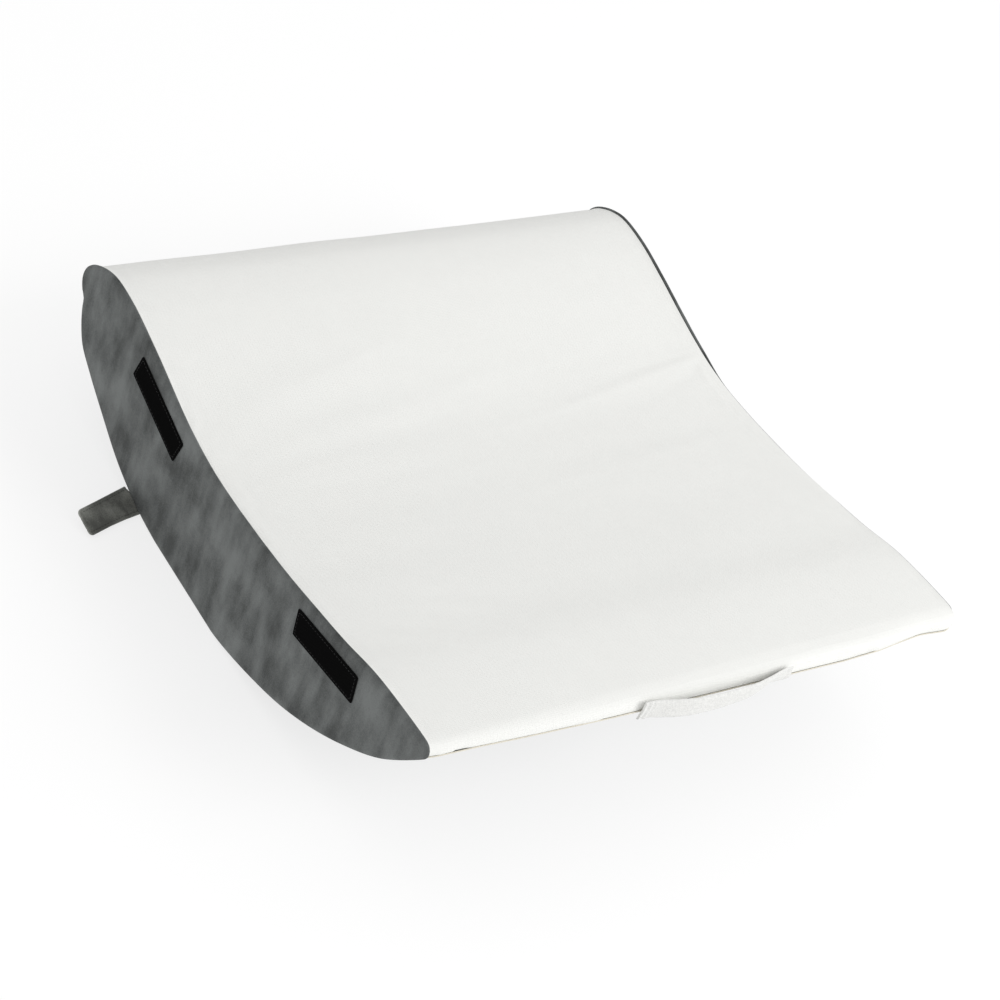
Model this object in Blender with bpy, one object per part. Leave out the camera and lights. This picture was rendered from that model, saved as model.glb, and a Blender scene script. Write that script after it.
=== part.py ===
"""A contoured foam rest pillow with a crescent profile, as it lies on its underside.

Metres, +Z up. X runs across the width, with the left side panel at -X. Y runs from the thin
front edge (-Y), which carries the handle, to the thick rear crest (+Y). The origin is on the flat
of the underside, under the middle of the foam.
"""
import math
from collections import namedtuple

import bmesh
import bpy
from mathutils import Vector

CLEARANCE = 0.0003        # what separates pieces that are sewn or laid on each other

# The foam block and its cover
HALF_WIDTH = 0.2632       # from the middle to a side seam
SEAM_SINK = 0.0015        # how far the cover sinks where it meets a side seam
SEAM_ROUND = 0.012        # how far from a side seam that sinking starts
CLOTH = 0.002             # thickness of the suede panels

# The side panels roll out of their seam to a flat face
PANEL_BULGE = 0.0035      # how far that face stands outside the seam
PANEL_ROLL = 0.0065       # how far in from its outline the roll ends
PANEL_EASE = 0.0003       # how far its outline stays inside the outline of the foam
ROLL_ANGLES = (-35, 0, 30, 60, 90)

# The section through the middle: a row for each station along the depth, with the height of the
# top and of the underside there
Station = namedtuple("Station", "along top underside")
STATIONS = (
    Station(-0.240, 0.1525, 0.0970),
    Station(-0.200, 0.1482, 0.0665),
    Station(-0.160, 0.1392, 0.0425),
    Station(-0.120, 0.1324, 0.0243),
    Station(-0.080, 0.1262, 0.0118),
    Station(-0.045, 0.1224, 0.0036),
    Station(-0.020, 0.1205, 0.0000),
    Station(0.000, 0.1194, 0.0000),
    Station(0.040, 0.1192, 0.0000),
    Station(0.080, 0.1240, 0.0000),
    Station(0.120, 0.1334, 0.0046),
    Station(0.160, 0.1438, 0.0158),
    Station(0.200, 0.1523, 0.0345),
    Station(0.232, 0.1538, 0.0510),
)
STATION_PIECES = 2        # straight pieces between two stations
SHORT_STRETCH = 0.009     # a shorter stretch than this is one straight piece

# The rounded front edge, from the top down to the front seam
Round = namedtuple("Round", "along up radius start stop count")
FRONT_EDGE = Round(-0.2715, 0.1455, 0.0085, 90, 217, 8)

# The rear, from the underside up: the heel to the rear seam, and the crest from there to the top
Knot = namedtuple("Knot", "along up")
HEEL = (Knot(0.2525, 0.0640), Knot(0.2625, 0.0795), Knot(0.2675, 0.0935))
REAR_SEAM = Knot(0.2690, 0.1015)
CREST = (Knot(0.2748, 0.1075), Knot(0.2785, 0.1165), Knot(0.2772, 0.1265), Knot(0.2705, 0.1358),
         Knot(0.2610, 0.1430), Knot(0.2480, 0.1495))

# How full the front edge is across the width, as how far its lower half stands out of the section
FrontRow = namedtuple("FrontRow", "across full")
FRONT_ROWS = (
    FrontRow(-0.265, -0.0004),
    FrontRow(-0.250, 0.0000),
    FrontRow(-0.215, 0.0010),
    FrontRow(-0.180, 0.0027),
    FrontRow(-0.145, 0.0040),
    FrontRow(-0.095, 0.0057),
    FrontRow(0.000, 0.0074),
    FrontRow(0.095, 0.0088),
    FrontRow(0.140, 0.0096),
    FrontRow(0.180, 0.0088),
    FrontRow(0.205, 0.0066),
    FrontRow(0.228, 0.0052),
    FrontRow(0.250, 0.0070),
    FrontRow(0.258, 0.0076),
    FrontRow(0.265, 0.0045),
)
FRONT_FACING = 213        # degrees from +Y towards +Z that its fullest part faces
FRONT_REACH = 0.065       # how far behind the front edge the fullness dies out

# Stations across the width, as distances from the middle, short of the side seam
WIDTH_STATIONS = (0.0, 0.050, 0.100, 0.140, 0.165, 0.188, 0.206, 0.222, 0.238, 0.2515, 0.2585)

# The hook-and-loop strips on each side panel
STRIP_LENGTH = 0.085
STRIP_WIDTH = 0.025
STRIP_THICKNESS = 0.0012
Strip = namedtuple("Strip", "name along up tilt")
STRIPS = (
    Strip("front", -0.150, 0.1125, -9),
    Strip("rear", 0.127, 0.1065, 14),
)

# The handle: a row for each station across the width, with how far the inside of its upper and of
# its lower edge stand in front of the front edge (behind it where negative)
HANDLE_TOP = 0.1505       # height of its upper edge
HANDLE_WIDTH = 0.0195
HANDLE_THICKNESS = 0.002
HANDLE_STEPS = 5          # straight pieces across its width
HandleRow = namedtuple("HandleRow", "across upper lower")
HANDLE_ROWS = (
    HandleRow(-0.072, 0.0002, -0.0010),
    HandleRow(-0.060, 0.0004, 0.0004),
    HandleRow(-0.043, 0.0045, 0.0050),
    HandleRow(-0.025, 0.0075, 0.0075),
    HandleRow(0.004, 0.0085, 0.0075),
    HandleRow(0.034, 0.0072, 0.0050),
    HandleRow(0.052, 0.0040, 0.0000),
    HandleRow(0.066, 0.0006, -0.0060),
    HandleRow(0.076, 0.0004, -0.0080),
)
HANDLE_PIECES = 3         # straight pieces between two rows

# The pull tab under the lower left seam: a row for each station along it, with its height, the
# degrees that its front side hangs lower, and how much wider it is there on each side
TAB_WIDTH = 0.0235
TAB_THICKNESS = 0.0026
TAB_ROOT_ALONG = 0.1262   # where along the depth it leaves the seam
TAB_SWING = 19.5          # degrees that it swings towards the front
TabRow = namedtuple("TabRow", "out up tilt wider")
TAB_ROWS = (
    TabRow(-0.0012, 0.0042, 11, 0.0024),
    TabRow(0.0080, 0.0054, 16, 0.0015),
    TabRow(0.0200, 0.0069, 22, 0.0006),
    TabRow(0.0360, 0.0082, 28, 0.0),
    TabRow(0.0555, 0.0090, 32, 0.0),
    TabRow(0.0583, 0.0091, 32, -0.0008),
    TabRow(0.0595, 0.0091, 32, -0.0030),
)

KNIT_WHITE = (0.84, 0.84, 0.81)
SUEDE_GREY = (0.125, 0.132, 0.130)
HOOK_BLACK = (0.004, 0.004, 0.004)

Mark = namedtuple("Mark", "at out")    # a point of the section and its outward direction


def clear_scene():
    """Remove every object, so that the file holds the pillow alone."""
    for old in list(bpy.data.objects):
        bpy.data.objects.remove(old, do_unlink=True)


def arc(shape):
    """Knots along a rounded end, both ends of its sweep included."""
    knots = []
    for step in range(shape.count + 1):
        angle = math.radians(shape.start + (shape.stop - shape.start) * step / shape.count)
        knots.append(Vector((shape.along + shape.radius * math.cos(angle),
                             shape.up + shape.radius * math.sin(angle))))
    return knots


def curve_point(before, start, end, after, share):
    """A point between start and end on a centripetal Catmull-Rom curve."""
    times = [0.0]
    for near, far in ((before, start), (start, end), (end, after)):
        times.append(times[-1] + math.sqrt((far - near).length))
    t0, t1, t2, t3 = times
    t = t1 + (t2 - t1) * share
    a = before.lerp(start, (t - t0) / (t1 - t0))
    b = start.lerp(end, (t - t1) / (t2 - t1))
    c = end.lerp(after, (t - t2) / (t3 - t2))
    ab = a.lerp(b, (t - t0) / (t2 - t0))
    bc = b.lerp(c, (t - t1) / (t3 - t1))
    return ab.lerp(bc, (t - t1) / (t2 - t1))


def smooth_run(knots, before, after, pieces_of):
    """A smooth run of points through the knots; before and after lie just outside its ends."""
    padded = [before, *knots, after]
    points = []
    for index in range(1, len(padded) - 2):
        near, far = padded[index], padded[index + 1]
        pieces = pieces_of((far - near).length)
        for step in range(pieces):
            points.append(curve_point(padded[index - 1], near, far, padded[index + 2], step / pieces))
    points.append(knots[-1].copy())
    return points


def station_pieces(length):
    """Straight pieces for a stretch between two knots: one where they already lie close."""
    return STATION_PIECES if length > SHORT_STRETCH else 1


def section():
    """The marks of the middle section, as the run over the top and the run along the underside.

    The top goes from the rear seam to the front seam, and the underside from there back.
    """
    front = arc(FRONT_EDGE)
    rear_seam = Vector(REAR_SEAM)
    top = [rear_seam] + [Vector(knot) for knot in CREST]
    top += [Vector((row.along, row.top)) for row in reversed(STATIONS)] + front
    under = [front[-1]] + [Vector((row.along, row.underside)) for row in STATIONS]
    under += [Vector(knot) for knot in HEEL] + [rear_seam]
    top_run = smooth_run(top, under[-2], under[1], station_pieces)
    under_run = smooth_run(under, top[-2], top[1], station_pieces)
    points = top_run + under_run[1:-1]
    marks = []
    for index, point in enumerate(points):
        point.y = max(point.y, 0.0)
        ahead = (points[(index + 1) % len(points)] - point).normalized()
        behind = (point - points[index - 1]).normalized()
        along = (ahead + behind).normalized()
        marks.append(Mark(point, Vector((along.y, -along.x))))
    return marks[:len(top_run)], marks[len(top_run) - 1:] + marks[:1]


def short_of_seams(marks, step):
    """The marks of a run whose ends are drawn back from the seams by a step."""
    ends = []
    for seam, inner in ((marks[0], marks[1]), (marks[-1], marks[-2])):
        share = step / (inner.at - seam.at).length
        ends.append(Mark(seam.at.lerp(inner.at, share), seam.out.lerp(inner.out, share).normalized()))
    return [ends[0], *marks[1:-1], ends[1]]


def seam_sink(across):
    """How far the cover sinks at a distance from the middle, near a side seam."""
    reach = max(0.0, 1.0 - (HALF_WIDTH - abs(across)) / SEAM_ROUND)
    return SEAM_SINK * (1.0 - math.sqrt(1.0 - min(reach, 1.0) ** 2))


def front_fullness(mark, across):
    """How far a mark stands out of the section because the front edge is full there."""
    for near, far in zip(FRONT_ROWS, FRONT_ROWS[1:]):
        if across <= far.across:
            break
    share = (across - near.across) / (far.across - near.across)
    full = near.full + (far.full - near.full) * share
    facing = math.radians(FRONT_FACING)
    toward = max(0.0, mark.out.dot(Vector((math.cos(facing), math.sin(facing)))))
    front = FRONT_EDGE.along - FRONT_EDGE.radius
    reach = min(1.0, max(0.0, 1.0 - (mark.at.x - front) / FRONT_REACH))
    return full * toward * reach * reach * (3.0 - 2.0 * reach)


def ring(marks, across, depth=0.0):
    """The marks in space at a distance from the middle, at a depth under the cover."""
    sink = seam_sink(across) + depth
    placed = []
    for mark in marks:
        at = mark.at - mark.out * (sink - front_fullness(mark, across))
        placed.append(Vector((across, at.x, at.y)))
    return placed


def across_stations(last):
    """The stations across the width, from the left to the right, as far as the last one."""
    stations = [*WIDTH_STATIONS, last]
    return [-value for value in reversed(stations[1:])] + stations


def roll_path():
    """The outside of a side panel's roll from its seam to its flat face.

    Each row is a distance from the middle, and how far in from the outline of the foam it is.
    """
    first = math.sin(math.radians(ROLL_ANGLES[0]))
    path = []
    for angle in (math.radians(value) for value in ROLL_ANGLES):
        rise = (math.sin(angle) - first) / (1.0 - first)
        path.append((HALF_WIDTH + PANEL_BULGE * rise, PANEL_EASE + PANEL_ROLL * (1.0 - math.cos(angle))))
    return path


def seat_path(gap):
    """A straight slope under the roll of a side panel, at a gap under its cloth, in the same rows."""
    seam = (HALF_WIDTH - gap, PANEL_EASE + CLOTH + gap)
    face = (HALF_WIDTH + PANEL_BULGE - CLOTH - gap, PANEL_EASE + PANEL_ROLL)
    middle = ((seam[0] + face[0]) / 2, (seam[1] + face[1]) / 2)
    return [seam, middle, face]


def side_rings(marks, side, path):
    """Rings of the marks beside a side seam, one for each row of a path."""
    rings = []
    for across, inset in path:
        sunk = [mark.at - mark.out * inset for mark in marks]
        rings.append([Vector((side * across, at.x, at.y)) for at in sunk])
    return rings


def skin(rings):
    """A closed solid through rings of equally many points, with a flat face on each end."""
    bm = bmesh.new()
    loops = [[bm.verts.new(point) for point in placed] for placed in rings]
    for near, far in zip(loops, loops[1:]):
        for index in range(len(near)):
            after = (index + 1) % len(near)
            bm.faces.new((near[index], near[after], far[after], far[index]))
    bm.faces.new(loops[0])
    bm.faces.new(loops[-1])
    return bm


def finish(name, bm, colour, roughness, sharp=40):
    """Make a mesh a named object with its own material, shaded smooth over its soft bends."""
    bmesh.ops.recalc_face_normals(bm, faces=bm.faces)
    mesh = bpy.data.meshes.new(name)
    bm.to_mesh(mesh)
    bm.free()
    mesh.shade_smooth()
    mesh.set_sharp_from_angle(angle=math.radians(sharp))
    material = bpy.data.materials.new(name)
    material.use_nodes = True
    shader = material.node_tree.nodes["Principled BSDF"]
    shader.inputs["Base Color"].default_value = (*colour, 1.0)
    shader.inputs["Roughness"].default_value = roughness
    shader.inputs["Metallic"].default_value = 0.0
    mesh.materials.append(material)
    piece = bpy.data.objects.new(name, mesh)
    bpy.context.scene.collection.objects.link(piece)
    return piece


def build_body(top, under):
    """The filled knit body, with a rebate round it where the suede panels lie."""
    lower = short_of_seams(under, CLEARANCE)
    gap = 1.5 * CLEARANCE
    stations = across_stations(HALF_WIDTH - 2 * CLEARANCE)
    rings = [ring(top, across) + ring(lower, across, CLOTH + gap) for across in stations]
    left, right = (side_rings(top + lower, side, seat_path(gap)) for side in (-1, 1))
    finish("filled_body", skin(left[::-1] + rings + right), KNIT_WHITE, 0.9)


def build_side_panels(top, under):
    """The suede side panels: sheets that roll out of their seam to a flat face."""
    marks = top + under[1:-1]
    for side, name in ((-1, "side_panel_left"), (1, "side_panel_right")):
        inner = side_rings(marks, side, seat_path(0.0))
        outer = side_rings(marks, side, roll_path())
        finish(name, skin(inner[::-1] + outer), SUEDE_GREY, 0.95)


def build_underside(under):
    """The suede underside: one sheet from the front seam round to the rear seam."""
    marks = short_of_seams(under, 4.5 * CLEARANCE)
    stations = across_stations(HALF_WIDTH - 2.5 * CLEARANCE)
    rings = [ring(marks, across) + ring(marks, across, CLOTH)[::-1] for across in stations]
    finish("underside_panel", skin(rings), SUEDE_GREY, 0.95)


def build_strips():
    """The black hook-and-loop strips, two on each side panel."""
    face = HALF_WIDTH + PANEL_BULGE + CLEARANCE + STRIP_THICKNESS / 2
    for side, side_name in ((-1, "left"), (1, "right")):
        for strip in STRIPS:
            bm = bmesh.new()
            bmesh.ops.create_cube(bm, size=1.0)
            bmesh.ops.scale(bm, verts=bm.verts, vec=(STRIP_THICKNESS, STRIP_LENGTH, STRIP_WIDTH))
            piece = finish(f"hook_strip_{side_name}_{strip.name}", bm, HOOK_BLACK, 0.8)
            piece.location = (side * face, strip.along, strip.up)
            piece.rotation_euler = (math.radians(strip.tilt), 0.0, 0.0)


def front_face(outline, up):
    """How far forward the front edge of an outline stands at a height."""
    forward = 0.0
    for near, far in zip(outline, outline[1:]):
        if near.z != far.z and min(near.z, far.z) <= up <= max(near.z, far.z):
            forward = min(forward, near.lerp(far, (up - near.z) / (far.z - near.z)).y)
    return forward


def build_handle(top, under):
    """The white strap on the front edge: laid on it at both ends and bowed clear between them."""
    knots = [Vector(row) for row in HANDLE_ROWS]
    run = smooth_run(knots, knots[0] * 2 - knots[1], knots[-1] * 2 - knots[-2],
                     lambda length: HANDLE_PIECES)
    rings = []
    for row in run:
        outline = ring(top, row.x) + ring(under[1:], row.x)
        front = min(point.y for point in outline)
        fall = math.sqrt(HANDLE_WIDTH ** 2 - (row.y - row.z) ** 2)
        inside = []
        for step in range(HANDLE_STEPS + 1):
            share = step / HANDLE_STEPS
            up = HANDLE_TOP - fall * share
            clear = front_face(outline, up) - 2 * CLEARANCE
            free = front - row.y + (row.y - row.z) * share - CLEARANCE
            inside.append(Vector((row.x, min(free, clear), up)))
        outside = []
        for index, point in enumerate(inside):
            down = inside[min(index + 1, HANDLE_STEPS)] - inside[max(index - 1, 0)]
            out = Vector((0.0, down.z, -down.y)).normalized()
            outside.append(point + out * HANDLE_THICKNESS)
        rings.append(inside + outside[::-1])
    finish("handle", skin(rings), KNIT_WHITE, 0.9)


def build_tab():
    """The doubled suede pull tab, which comes out from under the lower left seam."""
    swing = math.radians(TAB_SWING)
    along = Vector((-math.cos(swing), -math.sin(swing), 0.0))
    level = Vector((math.sin(swing), -math.cos(swing), 0.0))
    rings = []
    for row in TAB_ROWS:
        tilt = math.radians(row.tilt)
        across = level * math.cos(tilt) - Vector((0.0, 0.0, math.sin(tilt)))
        half = across * (TAB_WIDTH / 2 + row.wider)
        thick = along.cross(across) * TAB_THICKNESS / 2
        centre = Vector((-HALF_WIDTH, TAB_ROOT_ALONG, row.up)) + along * row.out
        rings.append([centre - half - thick, centre - half * 1.05, centre - half + thick,
                      centre + half + thick, centre + half * 1.05, centre + half - thick])
    finish("pull_tab", skin(rings), SUEDE_GREY, 0.95)


def main():
    """Build every piece of the pillow."""
    clear_scene()
    top, under = section()
    build_body(top, under)
    build_side_panels(top, under)
    build_underside(under)
    build_strips()
    build_handle(top, under)
    build_tab()


main()
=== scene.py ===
"""Dresses the contoured foam rest pillow and sets it in its studio.

Metres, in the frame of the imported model: X across the width, Y from the thin front edge with the
handle to the thick rear crest, Z up from the flat of the underside.
"""
from __future__ import annotations

import logging
import math
from dataclasses import dataclass
from enum import Enum

import bmesh
import bpy
import numpy as np
from mathutils import Matrix, Vector, noise


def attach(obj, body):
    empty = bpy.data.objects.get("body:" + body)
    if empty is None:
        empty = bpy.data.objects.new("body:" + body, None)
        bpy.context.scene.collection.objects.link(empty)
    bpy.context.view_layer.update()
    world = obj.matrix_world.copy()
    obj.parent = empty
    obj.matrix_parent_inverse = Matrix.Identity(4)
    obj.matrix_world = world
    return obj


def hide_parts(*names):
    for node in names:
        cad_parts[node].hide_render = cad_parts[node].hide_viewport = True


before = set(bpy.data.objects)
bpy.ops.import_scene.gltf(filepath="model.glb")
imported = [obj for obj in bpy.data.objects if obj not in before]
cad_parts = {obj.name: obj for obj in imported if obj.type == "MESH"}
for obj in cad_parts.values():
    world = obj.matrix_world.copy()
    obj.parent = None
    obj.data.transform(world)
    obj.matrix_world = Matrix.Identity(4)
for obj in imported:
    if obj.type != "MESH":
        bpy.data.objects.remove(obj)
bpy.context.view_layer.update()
LOG = logging.getLogger("rest_pillow")


class Side(Enum):
    """The two sides of the pillow, as the sign of X."""

    LEFT = -1
    RIGHT = 1


class Hold(Enum):
    LAID = "laid"
    STRETCHED = "stretched"


# Finishes


class Graph:
    """A Principled material while its nodes are being wired."""

    def __init__(self, name: str, colour: tuple[float, float, float], roughness: float) -> None:
        """Start a material with a plain colour and roughness.

        Args:
            name: The material's name.
            colour: Its linear base colour.
            roughness: Its base roughness.
        """
        self.colour = colour
        self.material = bpy.data.materials.new(name)
        self.material.use_nodes = True
        self.tree = self.material.node_tree
        self.shader = self.tree.nodes["Principled BSDF"]
        self.shader.inputs["Base Color"].default_value = (*colour, 1.0)
        self.shader.inputs["Roughness"].default_value = roughness
        self.shader.inputs["Metallic"].default_value = 0.0

    def add(self, kind: str, **settings: object) -> bpy.types.Node:
        """Add a node.

        Args:
            kind: The node's type name without its ShaderNode prefix.
            settings: Properties of the node to set.

        Returns:
            The new node.
        """
        node = self.tree.nodes.new("ShaderNode" + kind)
        for key, value in settings.items():
            setattr(node, key, value)
        return node

    def wire(self, source: bpy.types.NodeSocket, target: bpy.types.NodeSocket) -> None:
        """Link one socket to another."""
        self.tree.links.new(source, target)

    def math(self, operation: str, first: object, second: object = 0.0) -> bpy.types.NodeSocket:
        """Add a Math node.

        Args:
            operation: The operation's name.
            first: A socket or a number.
            second: A socket or a number.

        Returns:
            The node's output socket.
        """
        node = self.add("Math", operation=operation)
        for socket, value in zip(node.inputs, (first, second)):
            if isinstance(value, bpy.types.NodeSocket):
                self.wire(value, socket)
            else:
                socket.default_value = value
        return node.outputs[0]

    def noise(self, scale: float, detail: float = 4.0, stretch: tuple[float, float, float] = (1, 1, 1),
              turn: tuple[float, float, float] = (0, 0, 0)) -> bpy.types.NodeSocket:
        """Add noise on object coordinates.

        Args:
            scale: Cells to the metre.
            detail: How many finer layers it holds.
            stretch: Scale of each axis before the noise is read.
            turn: Rotation of the axes in degrees.

        Returns:
            The noise's factor socket.
        """
        place = self.add("TexCoord")
        mapping = self.add("Mapping")
        mapping.inputs["Scale"].default_value = stretch
        mapping.inputs["Rotation"].default_value = [math.radians(value) for value in turn]
        self.wire(place.outputs["Object"], mapping.inputs["Vector"])
        cloud = self.add("TexNoise")
        cloud.inputs["Scale"].default_value = scale
        cloud.inputs["Detail"].default_value = detail
        self.wire(mapping.outputs["Vector"], cloud.inputs["Vector"])
        return cloud.outputs[0]

    def blend(self, factor: bpy.types.NodeSocket, share: float, rest: object) -> bpy.types.NodeSocket:
        """A share of a factor, with a socket or a number added."""
        return self.math("ADD", self.math("MULTIPLY", factor, share), rest)

    def weave(self, pitch: float) -> list[bpy.types.NodeSocket]:
        """The cloth coordinates along and across, as angles that turn once in each pitch.

        Args:
            pitch: The size of a repeat in metres.

        Returns:
            The two sockets.
        """
        split = self.add("SeparateXYZ")
        self.wire(self.add("UVMap", uv_map="weave").outputs[0], split.inputs[0])
        return [self.math("MULTIPLY", split.outputs[axis], 2.0 * math.pi / pitch) for axis in (0, 1)]

    def shade(self, factor: bpy.types.NodeSocket, low: tuple[float, float],
              high: tuple[float, float]) -> None:
        """Run the colour from a darker to a lighter tone.

        Args:
            factor: The socket to read.
            low: The lower stop's place, and its tone as a share of the colour.
            high: The upper stop's place and tone.
        """
        node = self.add("ValToRGB")
        for element, (place, tone) in zip(node.color_ramp.elements, (low, high)):
            element.position = place
            element.color = (*(min(1.0, value * tone) for value in self.colour), 1.0)
        self.wire(factor, node.inputs[0])
        self.wire(node.outputs[0], self.shader.inputs["Base Color"])

    def roughen(self, factor: bpy.types.NodeSocket, share: float, base: float) -> None:
        """Make the roughness a base and a share of a factor."""
        self.wire(self.blend(factor, share, base), self.shader.inputs["Roughness"])

    def bump(self, height: bpy.types.NodeSocket, distance: float, strength: float = 1.0) -> None:
        """Add a bump under any bump that the shader already has.

        Args:
            height: The socket to read as height, from 0 to 1.
            distance: The height in metres that 1 stands for.
            strength: How strongly it shows.
        """
        node = self.add("Bump")
        node.inputs["Strength"].default_value = strength
        node.inputs["Distance"].default_value = distance
        self.wire(height, node.inputs["Height"])
        socket = self.shader.inputs["Normal"]
        if socket.is_linked:
            self.wire(socket.links[0].from_socket, node.inputs["Normal"])
        self.wire(node.outputs[0], socket)

    def sheen(self, weight: float, roughness: float) -> None:
        """Give the cloth a fuzz that catches light at a glance."""
        self.shader.inputs["Sheen Weight"].default_value = weight
        self.shader.inputs["Sheen Roughness"].default_value = roughness


@dataclass(frozen=True)
class BirdseyeKnit:
    """The white knit of the top, with its small raised diamonds, woven in its own UVs in metres."""

    name: str
    colour: tuple[float, float, float]
    pitch: float = 0.0031
    contrast: float = 0.035
    relief: float = 0.00022

    def make(self) -> bpy.types.Material:
        """Build the material.

        Returns:
            The knit.
        """
        graph = Graph(self.name, self.colour, 0.92)
        along, across = graph.weave(self.pitch)
        slant = graph.math("SINE", graph.math("ADD", along, across))
        counter = graph.math("SINE", graph.math("SUBTRACT", along, across))
        eyes = graph.math("MULTIPLY", slant, counter)
        loops = graph.math("SINE", graph.math("MULTIPLY", across, 3.0))
        courses = graph.math("MULTIPLY", loops, 0.30)
        height = graph.blend(graph.blend(eyes, 0.5, courses), 0.5, 0.5)
        patchy = graph.math("MULTIPLY", graph.noise(60.0, 3.0), 0.5)
        # The colour follows the weave's height, darker in its hollows and lighter on the raised diamonds:
        # painted shade of the weave, with soft random patches of tone added.
        tone = graph.blend(height, 0.75, graph.math("SUBTRACT", patchy, 0.12))
        graph.shade(tone, (0.0, 1.0 - self.contrast), (0.9, 1.0 + self.contrast * 0.6))
        graph.roughen(height, -0.08, 0.95)
        graph.bump(height, self.relief)
        graph.bump(graph.noise(900.0, 2.0), 0.00012)
        graph.sheen(0.08, 0.5)
        return graph.material


@dataclass(frozen=True)
class Suede:
    """Grey brushed suede: a cloudy nap, soft upright creases and a fine grain."""

    name: str
    colour: tuple[float, float, float]
    clouds: float = 0.48

    def make(self) -> bpy.types.Material:
        """Build the material.

        Returns:
            The suede.
        """
        graph = Graph(self.name, self.colour, 0.95)
        nap = graph.noise(22.0, 6.0)
        streaks = graph.noise(60.0, 5.0, (1.0, 1.0, 0.28), (12, 0, 0))
        grain = graph.noise(1100.0, 2.0)
        tone = graph.blend(grain, 0.17, graph.blend(nap, 0.45, graph.math("MULTIPLY", streaks, 0.38)))
        graph.shade(tone, (0.40, 1.0 - self.clouds), (0.60, 1.0 + self.clouds))
        graph.roughen(tone, 0.1, 0.88)
        graph.bump(streaks, 0.0011, 0.7)
        graph.bump(graph.noise(160.0, 4.0), 0.0004)
        graph.bump(grain, 0.00015)
        graph.shader.inputs["Specular IOR Level"].default_value = 0.2
        graph.sheen(0.05, 0.45)
        return graph.material


@dataclass(frozen=True)
class HookTape:
    """Black hook tape: rows of small hooks on a woven base."""

    name: str
    colour: tuple[float, float, float]
    pitch: float = 0.0014

    def make(self) -> bpy.types.Material:
        """Build the material.

        Returns:
            The tape.
        """
        graph = Graph(self.name, self.colour, 0.75)
        hooks, rows = (graph.math("SINE", angle) for angle in graph.weave(self.pitch))
        height = graph.blend(graph.math("MULTIPLY", rows, hooks), 0.5, 0.5)
        ragged = graph.math("MULTIPLY", height, graph.math("ADD", graph.noise(400.0, 2.0), 0.5))
        # The black is lighter on the hook tops and darker between them: painted highlight and painted shade
        # of the hooks, broken up at random.
        graph.shade(ragged, (0.0, 0.7), (1.0, 1.9))
        graph.roughen(ragged, 0.2, 0.65)
        graph.bump(ragged, 0.0004)
        graph.shader.inputs["Specular IOR Level"].default_value = 0.0
        return graph.material


@dataclass(frozen=True)
class Thread:
    """Twisted sewing thread or a narrow strap's soft fibres."""

    name: str
    colour: tuple[float, float, float]
    twist: float = 1600.0
    relief: float = 0.0001

    def make(self) -> bpy.types.Material:
        """Build the material.

        Returns:
            The thread.
        """
        graph = Graph(self.name, self.colour, 0.85)
        fibres = graph.noise(self.twist, 3.0, (1.0, 0.35, 1.0))
        graph.shade(fibres, (0.3, 0.90), (0.7, 1.06))
        graph.roughen(fibres, 0.2, 0.75)
        graph.bump(fibres, self.relief)
        graph.sheen(0.1, 0.4)
        return graph.material


# The lines that every piece is cut to


def eased(share: np.ndarray) -> np.ndarray:
    """Shares from 0 to 1 that start and stop softly."""
    return share * share * (3.0 - 2.0 * share)


def running_mean(values: np.ndarray, width: int) -> np.ndarray:
    """Values averaged over an odd number of neighbours."""
    return np.convolve(np.pad(values, width // 2, mode="edge"), np.ones(width) / width, mode="valid")


def lengths_along(points: np.ndarray) -> np.ndarray:
    """How far along a line each of its points is."""
    return np.concatenate([[0.0], np.cumsum(np.linalg.norm(np.diff(points, axis=0), axis=1))])


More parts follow.
